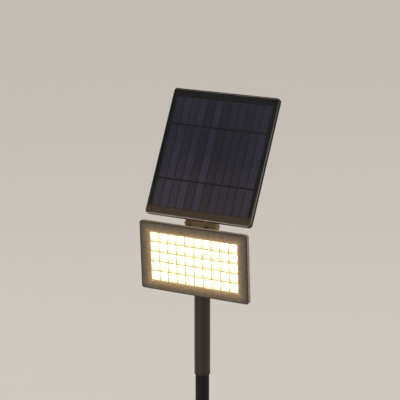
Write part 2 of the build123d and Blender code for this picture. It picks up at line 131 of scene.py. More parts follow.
def moulded(name, dark, light, roughness, grain_mm, grain_depth_mm):
    """Moulded plastic: flow marks shift its colour a little, and the mould's texture makes it matt."""
    material, place = new_material(name)
    flow_sockets = {"Vector": place, "Scale": 1 / (40 * MM), "Detail": 3.0}
    flow = add(material, "ShaderNodeTexNoise", sockets=flow_sockets)
    grain_sockets = {"Vector": place, "Scale": 1 / (grain_mm * MM), "Detail": 2.0, "Roughness": 0.6}
    grain = add(material, "ShaderNodeTexNoise", sockets=grain_sockets)
    tone = (flow, (0.3, srgb(dark)), (0.7, srgb(light)))
    matt = (grain, roughness - 0.05, roughness + 0.07)
    return surface(material, tone, matt, (grain, grain_depth_mm, 0.6), {"IOR": 1.5})


def show(name, mesh_data, material, body, replaced, place=Matrix.Identity(4)):
    """Shows a mesh in millimetres at its place, on its body and instead of the CAD nodes it stands for."""
    mesh_data.transform(Matrix.Scale(MM, 4))
    mesh_data.polygons.foreach_set("use_smooth", [True] * len(mesh_data.polygons))
    mesh_data.set_sharp_from_angle(angle=math.radians(SHARP_DEGREES))
    made = bpy.data.objects.new(name, mesh_data)
    bpy.context.scene.collection.objects.link(made)
    made.data.materials.append(material)
    made.matrix_world = place
    made.modifiers.new("flat_faces", "WEIGHTED_NORMAL").keep_sharp = True
    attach(made, body)
    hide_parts(*replaced)
    return made


def dress(material, *names):
    """Gives CAD nodes a material."""
    for name in names:
        nodes[name].data.materials.clear()
        nodes[name].data.materials.append(material)


def bridge(builder, rings, closed, capped=True):
    """Joins each ring of points to the next. Closed joins the last to the first; otherwise caps them."""
    loops = [[builder.verts.new(point) for point in ring] for ring in rings]
    pairs = list(zip(loops, loops[1:]))
    if closed:
        pairs.append((loops[-1], loops[0]))
    for one, two in pairs:
        count = len(one)
        for i in range(count):
            j = (i + 1) % count
            builder.faces.new((one[i], one[j], two[j], two[i]))
    if capped and not closed:
        builder.faces.new(loops[0][::-1])
        builder.faces.new(loops[-1])


def finished(builder, name):
    """Turns a bmesh into a mesh whose faces all point outwards."""
    bmesh.ops.recalc_face_normals(builder, faces=builder.faces)
    mesh_data = bpy.data.meshes.new(name)
    builder.to_mesh(mesh_data)
    builder.free()
    return mesh_data


def turned(profile, closed=False, shift=Vector((0, 0, 0)), turn=Matrix.Identity(3)):
    """Rings round Z from (radius, z) stations; a third value makes a ring a polygon of so many sides."""
    rings = []
    for radius, z, *sides in profile:
        ring = []
        for i in range(TURN_STEPS):
            angle = 2 * math.pi * i / TURN_STEPS
            reach = radius
            if sides:
                flat = 2 * math.pi / sides[0]
                reach = radius / math.cos(angle % flat - flat / 2)
            ring.append(turn @ Vector((reach * math.cos(angle), reach * math.sin(angle), z)) + shift)
        rings.append(ring)
    return rings, closed


def bar(points, low, high, bevel):
    """Rings for a flat bar: an outline of (y, z) points between two X limits, with rolled edges."""
    places = [(low, bevel), (low + bevel * 0.3, bevel * 0.3), (low + bevel, 0.0)]
    places += [(high - bevel, 0.0), (high - bevel * 0.3, bevel * 0.3), (high, bevel)]
    return [[inward(points, i, inset, x) for i in range(len(points))] for x, inset in places], False


def inward(points, i, inset, x):
    """A point of an outline moved inwards by inset, across the mean of its two sides' directions."""
    here = Vector(points[i])
    before = (here - Vector(points[i - 1])).normalized()
    after = (Vector(points[(i + 1) % len(points)]) - here).normalized()
    along = (before + after).normalized()
    share = max(0.4, along.dot(after))
    moved = here + Vector((-along.y, along.x)) * inset / share
    return Vector((x, moved.x, moved.y))


def joined(name, *shapes):
    """One mesh from several (rings, closed) shapes."""
    builder = bmesh.new()
    for rings, closed in shapes:
        bridge(builder, rings, closed)
    return finished(builder, name)


# Polypropylene out of the mould: a waxy black with a soft sheen, which shows the mould's fine texture.
spike_plastic = moulded("polypropylene_moulded", "#161616", "#1d1c1b", 0.42, 0.6, 0.05)
FLANGE_R = 24.0
SOCKET_R = 13.0
SOCKET_TOP = 35.0
TUBE_R = 9.5
SPIKE_DEPTH = 165.0
FIN_T = 3.2

fin_tip = -SPIKE_DEPTH + 1.5
fin = [(-17.0, 0.5), (-1.5, fin_tip), (0.0, -SPIKE_DEPTH), (1.5, fin_tip), (17.0, 0.5)]
gusset = [(12.0, 2.5), (22.0, 2.5), (12.0, 16.0)]
socket_profile = [
    (TUBE_R + 0.05, 5.0),
    (TUBE_R + 0.05, SOCKET_TOP - 0.6),
    (TUBE_R + 0.6, SOCKET_TOP),
    (SOCKET_R - 1.2, SOCKET_TOP),
    (SOCKET_R - 0.3, SOCKET_TOP - 0.4),
    (SOCKET_R, SOCKET_TOP - 1.3),
    (SOCKET_R, 4.2),
    (SOCKET_R + 0.4, 3.4),
    (SOCKET_R + 1.2, 3.0),
    (FLANGE_R - 0.8, 3.0),
    (FLANGE_R - 0.2, 2.7),
    (FLANGE_R, 2.0),
    (FLANGE_R, 0.8),
    (FLANGE_R - 0.6, 0.0),
    (0.5, 0.0),
    (0.5, 5.0),
]


def about_pole(shape, degrees):
    """A shape turned about the pole's axis."""
    rings, closed = shape
    turn = Matrix.Rotation(math.radians(degrees), 3, "Z")
    return [[turn @ point for point in ring] for ring in rings], closed


fin_shape = bar(fin, -FIN_T / 2, FIN_T / 2, 0.5)
gusset_shape = bar(gusset, -FIN_T / 2, FIN_T / 2, 0.5)
spike_shapes = [turned(socket_profile, closed=True), fin_shape, about_pole(fin_shape, 90)]
for quarter in range(4):
    spike_shapes.append(about_pole(gusset_shape, 45 + 90 * quarter))
spike_mesh = joined("spike", *spike_shapes)
show("spike", spike_mesh, spike_plastic, "pole_base", ["ground_spike"])


# Pole: two steel tubes, the lower one inside the upper one, cut square with the burr rolled off.
# Powder coated in satin black, which leaves a faint orange peel and catches light along each side.


def powder_coat(name, dark, light, roughness):
    """Powder coat: flow leaves an orange peel about 2 mm across, under a soft sheen."""
    material, place = new_material(name)
    peel_sockets = {"Vector": place, "Scale": 1 / (1.6 * MM), "Detail": 1.0}
    peel = add(material, "ShaderNodeTexNoise", sockets=peel_sockets)
    stretched = add(material, "ShaderNodeMapping", sockets={"Vector": place, "Scale": (1.0, 1.0, 0.25)})
    drift_sockets = {"Vector": stretched.outputs["Vector"], "Scale": 1 / (18 * MM), "Detail": 3.0}
    drift = add(material, "ShaderNodeTexNoise", sockets=drift_sockets)
    tone = (drift, (0.3, srgb(dark)), (0.7, srgb(light)))
    matt = (drift, roughness - 0.04, roughness + 0.06)
    return surface(material, tone, matt, (peel, 0.04, 0.5), {"IOR": 1.5})


# The upper tube's coat is a brown black, whose warm cast is the lit cells' glow painted in. The lower
# tube's is a deeper black, with less sheen: painted shade, away from the lamp's light.
upper_coat_painted_glow = powder_coat("steel_powder_coated", "#281e18", "#32271f", 0.36)
lower_coat_painted_shade = powder_coat("steel_powder_coated_painted_shade", "#0b0908", "#110e0c", 0.55)
lower_coat_painted_shade.node_tree.nodes["Principled BSDF"].inputs["Specular IOR Level"].default_value = 0.3
POLE_R = 11.0


def tube_profile(outer, inner, low, high):
    """A cut tube's section, with both ends' edges rolled."""
    edge = 0.25
    return [
        (outer, low + edge),
        (outer, high - edge),
        (outer - edge, high),
        (inner + edge, high),
        (inner, high - edge),
        (inner, low + edge),
        (inner + edge, low),
        (outer - edge, low),
    ]


lower_low, lower_high = (corner.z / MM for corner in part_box("lower_tube"))
upper_low, upper_high = (corner.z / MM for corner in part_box("upper_tube"))
lower_section = turned(tube_profile(TUBE_R, 8.5, lower_low, lower_high), closed=True)
lower_mesh = joined("lower_pole", lower_section)
show("lower_pole", lower_mesh, lower_coat_painted_shade, "pole_base", ["lower_tube"])
upper_section = turned(tube_profile(POLE_R, 10.2, upper_low, upper_high), closed=True)
upper_mesh = joined("upper_pole", upper_section)
show("upper_pole", upper_mesh, upper_coat_painted_glow, "pole_head", ["upper_tube"])


# Bush and stop plug: turned nylon, pushed into the upper tube. The bush's flange closes the tube's end
# and slides on the lower tube, and the plug rests on the lower tube's top.

# Moulded nylon: black, a little greasy in its shine, with hardly any texture.
nylon = moulded("nylon_moulded", "#171615", "#1f1e1c", 0.36, 1.2, 0.02)
BUSH_LOW = 220.0
BUSH_PROFILE = [
    (9.6, 250.0),
    (9.55, 249.6),
    (9.55, BUSH_LOW + 0.4),
    (9.8, BUSH_LOW),
    (10.2, BUSH_LOW),
    (10.85, BUSH_LOW + 0.6),
    (POLE_R, BUSH_LOW + 1.0),
    (POLE_R, BUSH_LOW + 2.2),
    (10.8, BUSH_LOW + 2.45),
    (10.2, BUSH_LOW + 2.5),
    (10.2, 249.6),
    (9.9, 250.0),
]
bush_mesh = joined("pole_sleeve", turned(BUSH_PROFILE, closed=True))
show("pole_sleeve", bush_mesh, nylon, "pole_head", ["pole_bush"])
dress(nylon, "stop_plug")


# Head bracket: one ABS moulding, with a plug in the pole's end, a collar over its edge and a thick
# tongue that carries both hinge pins. A screw through the tube's back holds the plug.

# ABS from a spark-eroded mould: near black, with a fine grain that spreads every highlight.
abs_plastic = moulded("abs_moulded", "#131110", "#1a1816", 0.38, 0.5, 0.03)


def paint_lamp_glow(material, low, high, colour):
    """Paints the lit cells' warm light onto a material as a glow, fading out between two heights in
    millimetres.
    """
    place = add(material, "ShaderNodeTexCoord").outputs["Object"]
    axes = add(material, "ShaderNodeSeparateXYZ", sockets={0: place})
    fade_range = {"From Min": low * MM, "From Max": high * MM, "To Min": 1.0, "To Max": 0.0}
    fade_sockets = {"Value": axes.outputs["Z"], **fade_range}
    fade = add(material, "ShaderNodeMapRange", {"interpolation_type": "SMOOTHSTEP"}, fade_sockets)
    shader = material.node_tree.nodes["Principled BSDF"]
    shader.inputs["Emission Color"].default_value = srgb(colour)
    material.node_tree.links.new(fade.outputs["Result"], shader.inputs["Emission Strength"])


# The same ABS right over the lit cells, with their warm light painted on as a glow that lifts it to a dark
# brown.
bracket_abs = moulded("abs_moulded_painted_glow", "#131110", "#1a1816", 0.38, 0.5, 0.03)
paint_lamp_glow(bracket_abs, 440.0, 470.0, "#53462F")
ARC_STEPS = 64
PANEL_PIN = (0.0, 432.0)
LAMP_PIN = (-12.161, 428.005)
PANEL_KNUCKLE_R = 7.2
LAMP_KNUCKLE_R = 5.0
PANEL_HOLE_R = 2.55
LAMP_HOLE_R = 2.05
TONGUE_HALF = 9.5
TONGUE_CUT_HALF = 20.0
COLLAR_LOW = 411.0


def hull(circles, low_y=-1000.0, low_z=-1000.0):
    """The outline round (y, z, radius) circles, kept above two limits, as one anticlockwise loop."""
    points = []
    for y, z, radius in circles:
        for i in range(ARC_STEPS):
            angle = 2 * math.pi * i / ARC_STEPS
            reach_y = max(low_y, y + radius * math.cos(angle))
            reach_z = max(low_z, z + radius * math.sin(angle))
            points.append(Vector((reach_y, reach_z)))
    return [points[i] for i in geometry.convex_hull_2d(points)]


def cut(mesh_data, *shapes):
    """The mesh with other closed shapes cut out of it."""
    cutter_mesh = joined("cutter", *shapes)
    holder = bpy.data.objects.new("holder", mesh_data)
    cutter = bpy.data.objects.new("cutter", cutter_mesh)
    for made in (holder, cutter):
        bpy.context.scene.collection.objects.link(made)
    modifier = holder.modifiers.new("cut", "BOOLEAN")
    modifier.operation = "DIFFERENCE"
    modifier.solver = "EXACT"
    modifier.use_self = True
    modifier.object = cutter
    bpy.context.view_layer.update()
    result = bpy.data.meshes.new_from_object(holder.evaluated_get(bpy.context.evaluated_depsgraph_get()))
    for made in (holder, cutter):
        bpy.data.objects.remove(made)
    return result


ALONG_X = Matrix.Rotation(math.radians(90), 3, "Y")


def pin_hole(radius, half_length, y, z):
    """A round bar across X, longer than what it cuts, for a hinge pin's hole."""
    ends = [(radius, -half_length), (radius, half_length)]
    return turned(ends, shift=Vector((0.0, y, z)), turn=ALONG_X)


tongue = hull(
    [(*LAMP_PIN, LAMP_KNUCKLE_R), (*PANEL_PIN, PANEL_KNUCKLE_R), (0.0, 414.5, PANEL_KNUCKLE_R)],
    low_z=COLLAR_LOW + 2.0,
)
plug_profile = [
    (9.4, 379.0),
    (10.2, 380.0),
    (10.2, COLLAR_LOW + 0.02),
    (POLE_R - 0.2, COLLAR_LOW + 0.05),
    (POLE_R, COLLAR_LOW + 0.3),
    (POLE_R, COLLAR_LOW + 2.1),
    (POLE_R - 0.3, COLLAR_LOW + 2.75),
    (POLE_R - 1.0, COLLAR_LOW + 3.0),
]
tongue_mesh = joined("head_bracket_tongue", bar(tongue, -TONGUE_HALF, TONGUE_HALF, 1.0))
tongue_mesh = cut(
    tongue_mesh,
    pin_hole(PANEL_HOLE_R, TONGUE_CUT_HALF, *PANEL_PIN),
    pin_hole(LAMP_HOLE_R, TONGUE_CUT_HALF, *LAMP_PIN),
)
show("bracket_tongue", tongue_mesh, bracket_abs, "pole_head", ["head_bracket"])
plug_mesh = joined("bracket_plug", turned(plug_profile))
show("bracket_plug", plug_mesh, abs_plastic, "pole_head", ["head_bracket"])


def plated(name, colour, roughness, grain_mm):
    """Plated metal: the plating's crystals break up the shine, and handling dulls it in patches."""
    material, place = new_material(name)
    crystal_sockets = {"Vector": place, "Scale": 1 / (grain_mm * MM), "Detail": 3.0}
    crystal = add(material, "ShaderNodeTexNoise", sockets=crystal_sockets)
    patch_sockets = {"Vector": place, "Scale": 1 / (4 * MM), "Detail": 2.0}
    patch = add(material, "ShaderNodeTexNoise", sockets=patch_sockets)
    darker = tuple(0.8 * value for value in srgb(colour)[:3]) + (1.0,)
    tone = (crystal, (0.25, darker), (0.7, srgb(colour)))
    matt = (patch, roughness - 0.08, roughness + 0.12)
    return surface(material, tone, matt, (crystal, 0.01, 0.4), {"Metallic": 1.0})


# Zinc plate over steel: a soft grey shine, uneven where the plating has grown.
zinc = plated("steel_zinc_plated", "#9a958c", 0.38, 0.5)
dress(zinc, "bracket_screw")


# Rear housing: an ABS tray with a flat channel where the pole stands, two round-edged pods and the
# lamp's hinge lugs. It screws to the front frame from behind, through six sunk holes.

LAMP_CENTRE = Vector((0.0, -24.2, 385.2)) * MM
LAMP_LEAN = math.radians(3.46)
LAMP = Matrix.Translation(LAMP_CENTRE) @ Matrix.Rotation(LAMP_LEAN, 4, "X")
dress(abs_plastic, "rear_shell")


# Battery: one cell in a nylon cradle in the left pod, between nickel-plated contacts. It has a
# shrunk PVC sleeve.

# Shrink sleeve: thin glossy PVC in plain grey-green.
sleeve = moulded("pvc_sleeve", "#3b4a48", "#45544f", 0.22, 3.0, 0.01)
nickel = plated("steel_nickel_plated", "#b3ada3", 0.3, 0.4)
dress(nylon, "battery_holder")
dress(sleeve, "battery_cell")
dress(nickel, "battery_contacts")


# Control board: a glass-fibre board in the right pod, with its parts soldered on, and the switch that
# the button presses.

# Solder mask over woven glass: a glossy green that shows the weave as a faint ripple.
green_mask = moulded("glass_fibre_green_mask", "#123a24", "#184a2e", 0.28, 0.9, 0.04)
# Moulded epoxy of chips and switches: dull charcoal.
epoxy = moulded("epoxy_moulded", "#222223", "#2c2c2c", 0.55, 0.3, 0.03)
dress(green_mask, "control_board")
dress(epoxy, "board_parts", "switch_body")


# Power button: a silicone cap that slides in a collar on the right pod's back, with a low crown
# and a round edge. The collar is ABS, glued over the hole.

# Silicone rubber: deep black and matt, which holds fine dust in its grain.
silicone = moulded("silicone_moulded", "#191918", "#232221", 0.6, 0.4, 0.02)
SWITCH_X = 35.5
SWITCH_Z = 10.0
POD_BACK = 30.4
TO_BACK = Matrix.Rotation(math.radians(-90), 4, "X")
BUTTON_PLACE = LAMP @ Matrix.Translation(Vector((SWITCH_X, 0.0, SWITCH_Z)) * MM) @ TO_BACK
button_profile = [
    (1.8, POD_BACK - 5.65),
    (1.8, POD_BACK - 3.3),
    (6.1, POD_BACK - 3.3),
    (6.3, POD_BACK - 3.1),
    (6.3, POD_BACK - 2.2),
    (6.1, POD_BACK - 2.05),
    (5.0, POD_BACK - 2.05),
    (5.0, POD_BACK + 1.7),
    (4.9, POD_BACK + 2.1),
    (4.6, POD_BACK + 2.38),
    (4.1, POD_BACK + 2.52),
    (2.0, POD_BACK + 2.59),
    (0.6, POD_BACK + 2.6),
]
collar_profile = [
    (5.1, POD_BACK),
    (5.1, POD_BACK + 0.9),
    (5.3, POD_BACK + 1.15),
    (5.6, POD_BACK + 1.2),
    (6.8, POD_BACK + 1.2),
    (7.2, POD_BACK + 1.05),
    (7.45, POD_BACK + 0.7),
    (7.5, POD_BACK + 0.3),
    (7.5, POD_BACK),
]
button_mesh = joined("button_cap", turned(button_profile))
show("button_cap", button_mesh, silicone, "power_button", ["power_button"], BUTTON_PLACE)
collar_mesh = joined("button_ring", turned(collar_profile, closed=True))
show("button_ring", collar_mesh, abs_plastic, "lamp", ["button_collar"], BUTTON_PLACE)


# Cable gland under the right pod: a moulded nylon foot, a hexagon and a domed nut. The lead's hole in
# it is empty.

GLAND_PROFILE = [
    (1.0, 5.2),
    (1.5, 5.2),
    (1.6, 7.8),
    (1.9, 8.0),
    (2.9, 8.0),
    (3.7, 7.75),
    (4.2, 7.2),
    (4.4, 6.4),
    (4.4, 3.6),
    (4.2, 3.1),
    (4.5, 2.95, 6),
    (4.5, 2.6, 6),
    (4.5, 0.3, 6),
    (4.2, 0.0, 6),
    (3.0, 0.0),
    (3.0, -2.2),
]
DOWN = Matrix.Rotation(math.radians(180), 4, "X")
POD_BOTTOM = -40.0
GLAND_Y = 20.0
gland_place = LAMP @ Matrix.Translation(Vector((SWITCH_X, GLAND_Y, POD_BOTTOM)) * MM) @ DOWN
gland_mesh = joined("lamp_cable_gland", turned(GLAND_PROFILE))
show("lamp_cable_gland", gland_mesh, nylon, "lamp", ["lamp_gland"], gland_place)


# LED board: an aluminium-backed board with a white mask, which carries fifty warm white chips in ten
# columns and five rows.

# White solder mask: a hard satin white.
white_mask = moulded("white_solder_mask", "#d9d7cf", "#e6e4dc", 0.35, 2.0, 0.01)
dress(white_mask, "led_board")
CHIP_STRENGTH = 22.0
# Phosphor under clear resin: it glows warm white, a little yellower in patches.
phosphor, phosphor_place = new_material("led_phosphor")
phosphor_noise_sockets = {"Vector": phosphor_place, "Scale": 1 / (2 * MM), "Detail": 1.0}
phosphor_noise = add(phosphor, "ShaderNodeTexNoise", sockets=phosphor_noise_sockets)
phosphor_tone = add(phosphor, "ShaderNodeValToRGB", sockets={"Fac": phosphor_noise.outputs["Fac"]})
set_stops(phosphor_tone, (0.0, srgb("#FFEDB8")), (1.0, srgb("#FFF3D2")))
phosphor_sockets = {
    "Base Color": phosphor_tone.outputs["Color"],
    "Emission Color": phosphor_tone.outputs["Color"],
    "Emission Strength": CHIP_STRENGTH,
    "Roughness": 0.3,
    "IOR": 1.5,
}
phosphor_shader = add(phosphor, "ShaderNodeBsdfPrincipled", sockets=phosphor_sockets)
add(phosphor, "ShaderNodeOutputMaterial", sockets={"Surface": phosphor_shader.outputs["BSDF"]})
dress(phosphor, "led_chips")


# Reflector: one moulding in bright white plastic, with a square bowl over each chip. Thin ribs part the
# bowls, and a flange round the block is held between the board and the clear cover.

LED_PITCH = 13.86
LED_COLUMNS = 10
LED_ROWS = 5
RIB_HALF = 0.5
OPTIC_Z = -1.0
BOWL_FRONT = 2.1
BOWL_BACK = 5.5
THROAT_BACK = 6.4
THROAT_HALF = 2.8
BOWL_CORNER = 1.7
THROAT_CORNER = 1.2
MOUTH_INSET = 0.16
MOUTH_DEPTH = 0.14
CORNER_STEPS = 6
BOWL_STEPS = 7


def corner_points():
    """Each point of four round corners, as its corner's signs in X and Z and its angle."""
    for quarter in range(4):
        side_x = 1 if quarter in (0, 3) else -1
        side_z = 1 if quarter in (0, 1) else -1
        for step in range(CORNER_STEPS + 1):
            yield side_x, side_z, math.pi / 2 * (quarter + step / CORNER_STEPS)


def rounded(width, height, corner, y, x=0.0, z=0.0):
    """A ring of points round a rectangle with round corners, at depth y."""
    ring = []
    for side_x, side_z, angle in corner_points():
        reach_x = side_x * (width / 2 - corner) + corner * math.cos(angle)
        reach_z = side_z * (height / 2 - corner) + corner * math.sin(angle)
        ring.append(Vector((x + reach_x, y, z + reach_z)))
    return ring


def cell_edge(half, corner, y, x, z):
    """A square ring whose points lie straight out from those of a round-cornered ring inside it."""
    middle = half - RIB_HALF - corner
    reach = half - middle
    ring = []
    for side_x, side_z, angle in corner_points():
        longest = max(abs(math.cos(angle)), abs(math.sin(angle)))
        out_x = side_x * middle + reach * math.cos(angle) / longest
        out_z = side_z * middle + reach * math.sin(angle) / longest
        ring.append(Vector((x + out_x, y, z + out_z)))
    return ring


def bowl(x, z):
    """One cell of the reflector: the ribs' face round it, its rolled mouth, curved walls and throat."""
    half = LED_PITCH / 2
    mouth = half - RIB_HALF
    rings = [cell_edge(half, BOWL_CORNER, BOWL_FRONT, x, z)]
    for inset, y in ((0.0, 0.0), (0.1, 0.04), (MOUTH_INSET, MOUTH_DEPTH)):
        size = 2 * (mouth - inset)
        rings.append(rounded(size, size, BOWL_CORNER, BOWL_FRONT + y, x, z))
    for step in range(1, BOWL_STEPS + 1):
        share = step / BOWL_STEPS
        reach = THROAT_HALF + (mouth - MOUTH_INSET - THROAT_HALF) * math.sqrt(1 - share)
        corner = BOWL_CORNER + (THROAT_CORNER - BOWL_CORNER) * share
        y = BOWL_FRONT + MOUTH_DEPTH + (BOWL_BACK - BOWL_FRONT - MOUTH_DEPTH) * share
        rings.append(rounded(2 * reach, 2 * reach, corner, y, x, z))
    rings.append(rounded(2 * THROAT_HALF, 2 * THROAT_HALF, THROAT_CORNER, THROAT_BACK, x, z))
    rings.append(cell_edge(half, BOWL_CORNER, THROAT_BACK, x, z))
    return rings


bowl_builder = bmesh.new()
for row in range(LED_ROWS):
    for column in range(LED_COLUMNS):
        place_x = (column - (LED_COLUMNS - 1) / 2) * LED_PITCH
        place_z = (row - (LED_ROWS - 1) / 2) * LED_PITCH + OPTIC_Z
        bridge(bowl_builder, bowl(place_x, place_z), closed=False, capped=False)
bmesh.ops.remove_doubles(bowl_builder, verts=bowl_builder.verts, dist=0.001)
bowl_mesh = finished(bowl_builder, "reflector_bowls")

# Bright white plastic round a lit chip, with the chip's light painted on as a glow: each bowl glows cream,
# yellower towards its mouth and most so along its lower side, and the ribs between them are painted dim.
white_painted_glow, lit_place = new_material("polycarbonate_white_painted_glow")
per_cell = {0: lit_place, 1: tuple([1 / (LED_PITCH * MM)] * 3)}
cell_shift = (0.0, 0.0, 0.5 - OPTIC_Z / LED_PITCH)
in_cells = add(white_painted_glow, "ShaderNodeVectorMath", {"operation": "MULTIPLY"}, per_cell)
shift_sockets = {0: in_cells.outputs[0], 1: cell_shift}
half_cell = add(white_painted_glow, "ShaderNodeVectorMath", {"operation": "ADD"}, shift_sockets)
within = add(white_painted_glow, "ShaderNodeVectorMath", {"operation": "FRACTION"}, {0: half_cell.outputs[0]})
middle_sockets = {0: within.outputs[0], 1: (0.5, 0.5, 0.5)}
from_middle = add(white_painted_glow, "ShaderNodeVectorMath", {"operation": "SUBTRACT"}, middle_sockets)
off_middle = add(white_painted_glow, "ShaderNodeVectorMath", {"operation": "ABSOLUTE"}, {0: from_middle.outputs[0]})
sides = add(white_painted_glow, "ShaderNodeSeparateXYZ", sockets={0: off_middle.outputs[0]})
side_sockets = {0: sides.outputs["X"], 1: sides.outputs["Z"]}
to_rib = add(white_painted_glow, "ShaderNodeMath", {"operation": "MAXIMUM"}, side_sockets)
height = add(white_painted_glow, "ShaderNodeSeparateXYZ", sockets={0: from_middle.outputs[0]})
lowered_sockets = {0: height.outputs["Z"], 1: -0.05, 2: to_rib.outputs[0]}
lowered = add(white_painted_glow, "ShaderNodeMath", {"operation": "MULTIPLY_ADD"}, lowered_sockets)
glow = add(white_painted_glow, "ShaderNodeValToRGB", sockets={"Fac": lowered.outputs[0]})
set_stops(glow, (0.34, srgb("#FFFDF2")), (0.445, srgb("#F0E6A2")), (0.468, srgb("#8A8056")))
lit_grain_sockets = {"Vector": lit_place, "Scale": 1 / (0.8 * MM), "Detail": 2.0}
lit_grain = add(white_painted_glow, "ShaderNodeTexNoise", sockets=lit_grain_sockets)
lit_bump_sockets = {"Height": lit_grain.outputs["Fac"], "Distance": 0.02 * MM, "Strength": 0.4}
lit_bump = add(white_painted_glow, "ShaderNodeBump", sockets=lit_bump_sockets)
lit_sockets = {
    "Base Color": srgb("#8f8a7c"),
    "Roughness": 0.3,
    "IOR": 1.58,
    "Normal": lit_bump.outputs["Normal"],
    "Emission Color": glow.outputs["Color"],
    "Emission Strength": 1.1,
}
lit_shader = add(white_painted_glow, "ShaderNodeBsdfPrincipled", sockets=lit_sockets)
add(white_painted_glow, "ShaderNodeOutputMaterial", sockets={"Surface": lit_shader.outputs["BSDF"]})
show("reflector_bowls", bowl_mesh, white_painted_glow, "lamp", ["reflector_grid"], LAMP)

BLOCK_W = LED_COLUMNS * LED_PITCH
BLOCK_H = LED_ROWS * LED_PITCH
OPTIC_W = 146.8
OPTIC_H = 77.0
flange_stations = [
    (BLOCK_W, BLOCK_H, 0.1, BOWL_FRONT),
    (142.6, 73.6, 0.5, BOWL_FRONT),
    (143.0, 74.0, 0.6, BOWL_FRONT + 0.2),
    (143.0, 74.0, 0.6, 2.6),
    (OPTIC_W, OPTIC_H, 0.6, 2.65),
    (OPTIC_W, OPTIC_H, 0.6, 3.6),
    (143.0, 74.0, 0.6, 3.6),
    (143.0, 74.0, 0.6, THROAT_BACK),
    (BLOCK_W, BLOCK_H, 0.1, THROAT_BACK),
]


def stacked(stations, z=0.0):
    """Rings of round-cornered rectangles from (width, height, corner, depth) stations."""
    return [rounded(*station, 0.0, z) for station in stations]


def inside(width, height, *rows):
    """Stations from (shrink, corner, depth) rows, each so much smaller than width by height."""
    return [(width - shrink, height - shrink, corner, y) for shrink, corner, y in rows]


# The same plastic where no chip stands behind it, painted a brownish tone with a faint glow, both standing
# for the chips' light.
white_flange_painted_glow = moulded("polycarbonate_white", "#8c7a5c", "#94825f", 0.4, 0.8, 0.02)
dim_shader = white_flange_painted_glow.node_tree.nodes["Principled BSDF"]
dim_shader.inputs["Emission Color"].default_value = srgb("#A8895F")
dim_shader.inputs["Emission Strength"].default_value = 0.8
flange_mesh = joined("reflector_flange", (stacked(flange_stations, OPTIC_Z), True))
show("reflector_flange", flange_mesh, white_flange_painted_glow, "lamp", ["reflector_grid"], LAMP)


# Clear cover: a flat polycarbonate sheet with polished edges, pressed on a silicone gasket behind the
# front frame's window.


def clear(name, tint, roughness, ior):
    """Clear plastic: glossy and see-through, and its shadows let the light pass."""
    material, place = new_material(name)
    haze_sockets = {"Vector": place, "Scale": 1 / (25 * MM), "Detail": 3.0}
    haze = add(material, "ShaderNodeTexNoise", sockets=haze_sockets)
    haze_range = {**NOISE_SPAN, "To Min": roughness * 0.8, "To Max": roughness * 1.3}
    matt = add(material, "ShaderNodeMapRange", sockets={"Value": haze.outputs["Fac"], **haze_range})
    shader_sockets = {
        "Base Color": srgb(tint),
        "Roughness": matt.outputs["Result"],
        "IOR": ior,
        "Transmission Weight": 1.0,
    }
    shader = add(material, "ShaderNodeBsdfPrincipled", sockets=shader_sockets)
    passing = add(material, "ShaderNodeBsdfTransparent", sockets={"Color": srgb(tint)})
    ray = add(material, "ShaderNodeLightPath")
    mix_sockets = {0: ray.outputs["Is Shadow Ray"], 1: shader.outputs["BSDF"], 2: passing.outputs["BSDF"]}
    mix = add(material, "ShaderNodeMixShader", sockets=mix_sockets)
    add(material, "ShaderNodeOutputMaterial", sockets={"Surface": mix.outputs["Shader"]})
    return material


# Polycarbonate sheet: water clear, with a sharp shine.
lens_plastic = clear("polycarbonate_clear", "#FBFAF5", 0.04, 1.58)
lens_rows = [(0.5, 0.5, 1.05), (0.2, 0.6, 1.18), (0.2, 0.6, 1.84), (0.5, 0.5, 1.97)]
lens_stations = inside(OPTIC_W, OPTIC_H, *lens_rows)
lens_mesh = joined("clear_cover", (stacked(lens_stations, OPTIC_Z), False))
show("clear_cover", lens_mesh, lens_plastic, "lamp", ["lamp_lens"], LAMP)
dress(silicone, "lens_gasket")


# Front frame: an ABS moulding round the clear cover. A flat lip runs round it, then a shallow slope
# leads down to the window. Its front edge is rolled, with painted shade along it, and shows as a dark
# line.

LAMP_W = 170.0
LAMP_H = 96.8
FRAME_DEPTH = 6.5
FRAME_CORNER = 3.5
WINDOW_W = 142.0
WINDOW_H = 73.0
ROLL_STEPS = 4


def rolled(width, height, corner, side_y, face_y):
    """Stations for an edge that rolls from the side at side_y over to the face at face_y."""
    stations = []
    for step in range(ROLL_STEPS + 1):
        angle = math.pi / 2 * step / ROLL_STEPS
        inset = abs(side_y - face_y) * (1 - math.cos(angle))
        y = side_y + (face_y - side_y) * math.sin(angle)
        stations.append((width - 2 * inset, height - 2 * inset, max(corner - inset, 0.1), y))
    return stations


back_rows = [
    (0.8, 3.1, FRAME_DEPTH),
    (0.2, 3.4, FRAME_DEPTH - 0.2),
    (0.0, FRAME_CORNER, FRAME_DEPTH - 0.5),
]
outer_stations = inside(LAMP_W, LAMP_H, *back_rows)
outer_stations += rolled(LAMP_W, LAMP_H, FRAME_CORNER, 0.9, 0.0)
outer_stations += inside(LAMP_W, LAMP_H, (7.2, 1.8, 0.0), (7.8, 1.5, 0.02))
window_stations = [
    (143.2, 74.0, 0.9, 0.27),
    (142.4, 73.3, 0.7, 0.38),
    (WINDOW_W, WINDOW_H, 0.6, 0.6),
    (WINDOW_W, WINDOW_H, 0.6, 1.0),
    (OPTIC_W, OPTIC_H, 0.6, 1.02),
    (OPTIC_W, OPTIC_H, 0.6, 2.0),
]
inner_rows = [(4.4, 2.5, 2.02), (4.4, 2.5, FRAME_DEPTH - 0.1), (4.0, 2.5, FRAME_DEPTH)]
inner_stations = inside(LAMP_W, LAMP_H, *inner_rows)
frame_rings = stacked(outer_stations) + stacked(window_stations, OPTIC_Z) + stacked(inner_stations)
frame_mesh = joined("front_frame", (frame_rings, True))
